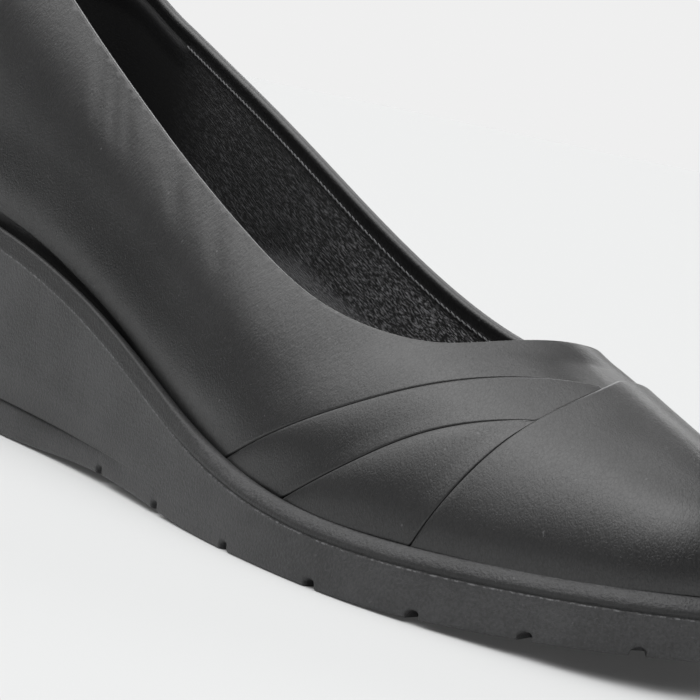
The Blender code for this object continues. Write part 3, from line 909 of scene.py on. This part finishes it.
def fold(form, line, limit, acrosses, crest, front, puff):
    """Sheet from its rolled edge, puffed a little, to the crease under the next piece."""
    start = line(acrosses)
    end = limit(acrosses)
    wide = np.maximum(end - start, 0.3)
    squeeze = np.minimum(1.0, wide / 12.0)
    rear_slant = slant(line, acrosses, 1.0) * squeeze
    front_slant = slant(limit, acrosses, -1.0) * squeeze
    crest = crest * welt_ease(acrosses, 0.95)
    front = front * welt_ease(acrosses, 0.95)
    swell = puff * squeeze * ease(np.abs(acrosses), 0.42, 0.8)
    # Where the rolled edge carries its painted highlight.
    lit_edge = 1.0 - ease(np.abs(acrosses), 0.22, 0.46)
    stations = []
    lifts = []
    crease_shades = []
    for reach, drop in ROLLED_EDGE:
        stations.append(start + reach * rear_slant)
        lifts.append(crest + drop)
        crease_shades.append(edge_painted_shade(drop, lit_edge))
    first = stations[-1]
    last = end - SHOULDER[-1] * front_slant
    for share in np.linspace(0.0, 1.0, 26)[1:-1]:
        stations.append(first + (last - first) * share)
        puffed = swell * math.sin(math.pi * share ** 0.8)
        lifts.append(crest + (front - crest) * ease(share, 0.0, 1.0) + puffed)
        crease_shades.append(np.zeros_like(start))
    for away in SHOULDER[::-1]:
        stations.append(end - away * front_slant)
        lifts.append(front - shoulder_drop(np.full_like(start, away)))
        crease_shades.append(np.full_like(start, shoulder_painted_shade(away)))
    for reach in TUCKS:
        stations.append(end + reach)
        lifts.append(lifts[-1] - TUCK_DROP)
        crease_shades.append(np.ones_like(start))
    run = run_of(np.stack(stations, 0))
    worn = np.zeros_like(run)
    worn[EDGE_ROWS] = lit_edge
    lay(form, skin(run, acrosses[None, :], np.stack(lifts, 0)), crease=np.stack(crease_shades, 0), worn=worn)


def rear_limit(across):
    front = np.where(across < FRONT_LINE["across"][-1], front_line(across), 1000.0)
    return np.minimum(front, toe_line(across))


rear_form = bmesh.new()
rear_acrosses = np.linspace(-1.0, -0.125, 120)
fold(rear_form, rear_line, rear_limit, rear_acrosses, crest=0.95, front=0.88, puff=0.25)
piece("rear_pleat_leather", rear_form, fold_leather, outward, ("rear_pleat",))

front_form = bmesh.new()
front_acrosses = np.linspace(-1.0, -0.435, 100)
fold(front_form, front_line, toe_line, front_acrosses, crest=1.25, front=1.10, puff=0.50)
piece("front_pleat_leather", front_form, fold_leather, outward, ("front_pleat",))

TOE_CREST = 1.55
TOE_PUFF = 0.55
TOE_THINNING = 0.7
toe_form = bmesh.new()
acrosses = np.concatenate((np.linspace(-1.0, 0.0, 101), np.linspace(0.0, 1.0, 101)[1:]))
toe_start = toe_line(acrosses)
toe_slant = slant(toe_line, acrosses, 1.0)
toe_crown = 1.0 - ease(np.abs(acrosses), 0.1, 0.5)
toe_crest = TOE_CREST * welt_ease(acrosses, 0.92) - 0.3 * toe_crown
# Where the toe's rolled edge carries its painted highlight.
toe_lit_edge = 1.0 - ease(np.abs(acrosses), 0.10, 0.34)
toe_runs = []
toe_lifts = []
toe_crease_shades = []
for reach, drop in ROLLED_EDGE:
    toe_runs.append(run_of(toe_start + reach * toe_slant))
    toe_lifts.append(toe_crest + drop)
    toe_crease_shades.append(edge_painted_shade(drop, toe_lit_edge))
toe_first = toe_runs[-1]
for share in np.linspace(0.0, 1.0, 76)[1:]:
    toe_runs.append(toe_first + (1.0 - toe_first) * share)
    puffed = TOE_PUFF * ease(share, 0.0, 0.28) * (1.0 - toe_crown)
    toe_lifts.append(toe_crest + puffed - TOE_THINNING * ease(share, 0.3, 0.9))
    toe_crease_shades.append(np.zeros_like(toe_start))
toe_worn = np.zeros_like(np.stack(toe_runs, 0))
toe_worn[EDGE_ROWS] = toe_lit_edge
toe_places = skin(np.stack(toe_runs, 0), acrosses[None, :], np.stack(toe_lifts, 0))
lay(toe_form, toe_places, crease=np.stack(toe_crease_shades, 0), worn=toe_worn)
piece("toe_overlay_leather", toe_form, fold_leather, outward, ("toe_overlay",))

# Sole: one closed profile round each section, with lip, mould flash, side step and tread notches
SOLE_COLUMNS = 220
EDGE_SAMPLES = 2000
NOTCH_HALF = 1.6
NOTCH_HEIGHT = 1.7
NOTCH_CLEAR = 3.0
NOTCH_COLUMNS = (-1.15, -1.0, -0.93, -0.8, -0.5, 0.0, 0.5, 0.8, 0.93, 1.0, 1.15)
ARCH_START = 55.0
ARCH_END = 160.0
ARCH_RISE = 1.85
SPRING_START = 198.0
TOE_SPRING = 7.4
STEP_HEIGHT = 8.0
edge_runs = np.linspace(0.0, 1.0, EDGE_SAMPLES + 1)
edge_gone = gone_along(np.stack(edge(edge_runs, LATERAL), -1))
notch_reach = np.interp(run_of(np.array(NOTCHES)), edge_runs, edge_gone)
sole_runs = []
for run in np.linspace(0.0, 1.0, SOLE_COLUMNS + 1):
    apart = np.min(np.abs(np.interp(run, edge_runs, edge_gone) - notch_reach))
    if apart > NOTCH_CLEAR or run in (0.0, 1.0):
        sole_runs.append(run)
for reach in notch_reach:
    for share in NOTCH_COLUMNS:
        sole_runs.append(float(np.interp(reach + NOTCH_HALF * share, edge_gone, edge_runs)))
sole_runs = np.array(sorted(sole_runs))
along_edge = np.interp(sole_runs, edge_runs, edge_gone)
away = np.min(np.abs(along_edge[:, None] - notch_reach[None, :]), 1) / NOTCH_HALF
notch = np.where(away < 0.999, NOTCH_HEIGHT * np.sqrt(np.clip(1.0 - away ** 2.6, 0.0, 1.0)), 0.0)
sole_station = station_of(sole_runs)
under_arch = np.clip((sole_station - ARCH_START) / (ARCH_END - ARCH_START), 0.0, 1.0)
sprung = np.clip((sole_station - SPRING_START) / (TOE_TIP - SPRING_START), 0.0, 1.0)
tread_low = ARCH_RISE * np.sin(math.pi * under_arch) ** 2 + TOE_SPRING * sprung ** 1.7
rim = rim_height(sole_station)
under = rim - LIP
recess = 0.8 * (1.0 - ease(sole_station, 75.0, 135.0))
cut = 1.0 - ease(sole_station, 60.0, 125.0)
step_level = np.maximum(STEP_HEIGHT - 1.7 * ease(sole_station, 40.0, 135.0), tread_low + 3.6)
fore = ease(sole_station, 120.0, 170.0)
snug = ease(sole_station, 70.0, 120.0) * (1.0 - ease(sole_station, 160.0, 190.0))
rng = np.random.default_rng(7)
flash = 0.5 + 0.5 * rng.random(len(sole_runs))
zero = np.zeros_like(sole_runs)

# Rows of the profile from the flat of the tread up the side and over the lip to the seat: inset and height
side_rows = [
    (zero + 7.0, tread_low),
    (zero + 6.5, tread_low + 0.8 * notch),
    (zero + 3.0, tread_low + 0.95 * notch),
    (1.0 + recess, tread_low + notch),
    (0.45 + recess, tread_low + 0.13 + notch),
    (0.12 + recess, tread_low + 0.45 + notch),
    (recess, tread_low + 0.95 + notch),
    (recess, (tread_low + 0.95 + notch + step_level - 0.4) / 2.0),
    (recess, step_level - 0.1),
    (recess + 0.25 * cut, step_level + 0.02),
    (recess * 0.5 + 0.2 * cut, step_level + 0.2),
    (zero, step_level + 0.4),
    (zero + 0.10, step_level + 0.7 + (under - 0.9 - step_level) * 0.3),
    (zero + 0.20, step_level + 0.7 + (under - 0.9 - step_level) * 0.6),
    (zero + 0.20, under - 0.9),
    (zero + 0.18, under - 0.5),
    (0.20 - 0.16 * flash, under - 0.25),
    (0.10 + 0.45 * fore, under),
    (0.06 + 0.12 * fore, under + 0.3),
    (0.10 - 0.08 * fore, under + 0.75),
    (0.16 - 0.14 * fore, under + 1.4 - 0.3 * fore),
    (0.20 - 0.06 * fore, under + 2.1 - 0.45 * fore),
    (0.24 + 0.14 * fore, under + 2.8 - 0.6 * fore),
    (0.29 + 0.43 * fore, under + 3.5 - 0.75 * fore),
    (0.42 + 0.72 * fore, under + 3.84 - 0.59 * fore),
    (0.72 + 0.80 * fore, under + 4.0 - 0.4 * fore),
    (1.50 + 0.28 * fore + 0.5 * snug, under + 3.95 - 0.2 * fore),
    (1.90 + 0.05 * fore + 0.9 * snug, under + 3.5 + 0.1 * fore),
    (LIP_WIDTH + snug, rim - 1.1),
    (LIP_WIDTH + snug, rim - SEAT_DEPTH),
]
FLASH_ROW = 16
LIP_ROWS = range(17, 30)
LIP_FRONT_ROW = 20
TREAD_SHARES = (0.8, 0.6, 0.4, 0.2)
TREAD_DOWN = -0.9
TREAD_TOP = 0.009
half_rings = {}
for side in SIDES:
    rows = []
    for inset, level in side_rows:
        x, y = outline(sole_runs, side, inset)
        rows.append(np.stack((x, y, level), -1))
    half_rings[side] = rows
ring = half_rings[LATERAL] + half_rings[MEDIAL][::-1]
for share in TREAD_SHARES:
    ring.append(half_rings[LATERAL][0] * (1.0 - share) + half_rings[MEDIAL][0] * share)
ring.append(ring[0])
sole_form = bmesh.new()
parting_mark = np.zeros((len(sole_runs), len(ring)))
lip_shade_mark = np.zeros((len(sole_runs), len(ring)))
last_row = 2 * len(side_rows) - 1
for row in (FLASH_ROW, last_row - FLASH_ROW):
    parting_mark[:, row] = 1.0
# Painted shade on the lip's rows, kept only on its lower rows toward the toe.
for row in LIP_ROWS:
    lip_shade_mark[:, row] = 1.0 - fore * (row > LIP_FRONT_ROW)
    lip_shade_mark[:, last_row - row] = lip_shade_mark[:, row]
lay(sole_form, np.stack(ring, 1), crease=parting_mark, lip=lip_shade_mark)
sole = piece("moulded_wedge_sole", sole_form, rubber.owner, outward, ("wedge_sole",))
sole.data.materials.append(tread.owner)
for face in sole.data.polygons:
    if face.normal.z < TREAD_DOWN and face.center.z < TREAD_TOP:
        face.material_index = 1

# Footbed: pad in the seat with rounded edges and a slight hollow
BED_INSET = 6.0
BED_THICK = 3.0
BED_EDGE_DROP = 1.6
BED_HOLLOW = 0.5
BED_SHARES = (0.0, 0.0, 0.012, 0.04, 0.09, 0.2, 0.35, 0.5, 0.65, 0.8, 0.91, 0.96, 0.988, 1.0, 1.0)
bed_form = bmesh.new()
bed_runs = np.linspace(0.0, 1.0, 121)
bed_seat = rim_height(station_of(bed_runs)) - SEAT_DEPTH + FEATHER_RAISE
lx, ly = outline(bed_runs, LATERAL, BED_INSET)
mx, my = outline(bed_runs, MEDIAL, BED_INSET)
bed_rows = []
for share in BED_SHARES:
    from_edge = min(share, 1.0 - share)
    level = bed_seat + BED_THICK - BED_EDGE_DROP * (1.0 - ease(from_edge, 0.0, 0.09))
    level = level - BED_HOLLOW * ease(from_edge, 0.05, 0.5)
    if len(bed_rows) in (0, len(BED_SHARES) - 1):
        level = bed_seat
    bed_rows.append(np.stack((lx + (mx - lx) * share, ly + (my - ly) * share, level), -1))
lay(bed_form, np.stack(bed_rows, 1))
footbed = piece("padded_footbed", bed_form, nap.owner, upward, ("insole",))

# Floor: pale, with a faint glow of its own, painted light that lifts the shadow under the shoe
FLOOR_HALF = 20.0
floor_form = bmesh.new()
bmesh.ops.create_grid(floor_form, x_segments=8, y_segments=8, size=FLOOR_HALF)
floor_mesh = bpy.data.meshes.new("studio_floor")
floor_form.to_mesh(floor_mesh)
floor_form.free()
floor_finish = surface("pale_floor_with_painted_glow", {
    "Base Color": (0.668, 0.674, 0.674, 1.0),
    "Roughness": 0.9,
    "Specular IOR Level": 0.1,
    "Emission Color": (1.0, 1.0, 1.0, 1.0),
    "Emission Strength": 0.045,
})
floor_mesh.materials.append(floor_finish.owner)
floor = bpy.data.objects.new("studio_floor", floor_mesh)
bpy.context.scene.collection.objects.link(floor)

# Studio light: a large soft source high on the front and left, an overhead fill and a pale backdrop.
# BANDS holds the heights, in degrees, between which light comes up, and LIGHTS each side's way and strengths.
BANDS = ((12, 24), (24, 38), (38, 54), (54, 74))
FRONT = (0.7826, -0.6225, 0.0)
LEFT = (-0.6225, -0.7826, 0.0)
REAR = (-0.7826, 0.6225, 0.0)
RIGHT = (0.6225, 0.7826, 0.0)
LIGHTS = (
    (FRONT, (0.0, 2.10, 4.05, 1.50)),
    (LEFT, (1.25, 1.85, 3.05, 1.50)),
    (REAR, (1.85, 0.0, 0.60, 1.50)),
    (RIGHT, (0.0, 0.0, 0.0, 1.50)),
)
BACKDROP = 0.864
room = Finish(bpy.data.worlds.new("pale_studio"))
bpy.context.scene.world = room.owner
way = room.node("ShaderNodeTexCoord", {}, {}, "Generated")
height = room.node("ShaderNodeSeparateXYZ", {}, {0: way}, "Z")


def toward(direction):
    """How squarely a way into the room points to one of its sides."""
    sight = room.node("ShaderNodeVectorMath", {"operation": "DOT_PRODUCT"}, {0: way, 1: direction}, "Value")
    return sight.sum("MAXIMUM", 0.0)


bands = [height.step(math.sin(math.radians(low)), math.sin(math.radians(high))) for low, high in BANDS]
glow = 0.0
for direction, weights in LIGHTS:
    ahead = toward(direction)
    share = ahead * ahead / (1.0001 - height * height)
    for band, weight, before in zip(bands, weights, (0.0, *weights)):
        glow = glow + share * band * (weight - before)
backdrop = BACKDROP * toward(REAR).step(0.80, 0.93) * (1.0 - height.step(0.075, 0.17))
glow = glow.sum("MAXIMUM", backdrop)
room.tree.links.new(glow.socket, room.tree.nodes["Background"].inputs["Strength"])
room.tree.nodes["Background"].inputs["Color"].default_value = (1.0, 1.0, 1.0, 1.0)

# Camera at the photograph's angle, with its target in millimetres and its focal length and shift in pixels
TURN = math.radians(51.5)
TILT = math.radians(6.9)
LEAN = math.radians(12.1)
TARGET = Vector((161.73, -19.25, 24.07))
DISTANCE = 577.62
FOCAL = 2880.0
SHIFT_ACROSS = 31.0
SHIFT_UP = 86.0
PICTURE = 700.0
SENSOR = 36.0
back = Vector((math.sin(TURN) * math.cos(TILT), -math.cos(TURN) * math.cos(TILT), math.sin(TILT)))
level = Vector((math.cos(TURN), math.sin(TURN), 0.0))
upright = back.cross(level)
right = level * math.cos(LEAN) + upright * math.sin(LEAN)
top = upright * math.cos(LEAN) - level * math.sin(LEAN)
stand = (TARGET + back * DISTANCE - Vector(MIDDLE)) * MM
back = (back * FOCAL - right * SHIFT_ACROSS - top * SHIFT_UP).normalized()
right = (right - back * right.dot(back)).normalized()
top = back.cross(right)
lens = bpy.data.cameras.new("camera")
lens.sensor_width = SENSOR
lens.lens = FOCAL / PICTURE * SENSOR
lens.clip_start = 0.01
lens.clip_end = 100.0
camera = bpy.data.objects.new("camera", lens)
camera.matrix_world = Matrix.Translation(stand) @ Matrix((right, top, back)).transposed().to_4x4()
bpy.context.scene.collection.objects.link(camera)
bpy.context.scene.camera = camera
bpy.context.scene.view_settings.view_transform = "Standard"
